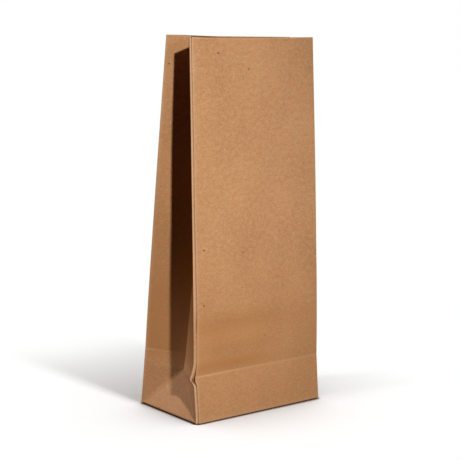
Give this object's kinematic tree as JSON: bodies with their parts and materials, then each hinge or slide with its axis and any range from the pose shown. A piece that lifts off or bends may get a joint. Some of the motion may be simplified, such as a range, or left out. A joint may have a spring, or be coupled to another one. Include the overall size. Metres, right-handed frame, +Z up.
{
  "type": "paper gift bag",
  "caption": "Block-bottom kraft paper gift bag with gusseted sides and a glued corner lap, standing open to take a small gift.",
  "frame": {"origin": "centre of the bag's base, on the surface that it stands on", "axes": "+X along the width, +Y from the front panel with the lap towards the back panel, +Z up out of the mouth"},
  "size_m": [0.1119, 0.06, 0.2495],
  "materials": {
    "kraft_paper": "matte uncoated brown kraft"
  },
  "bodies": {
    "root": {"paper_bag": "kraft_paper"}
  },
  "joints": []
}
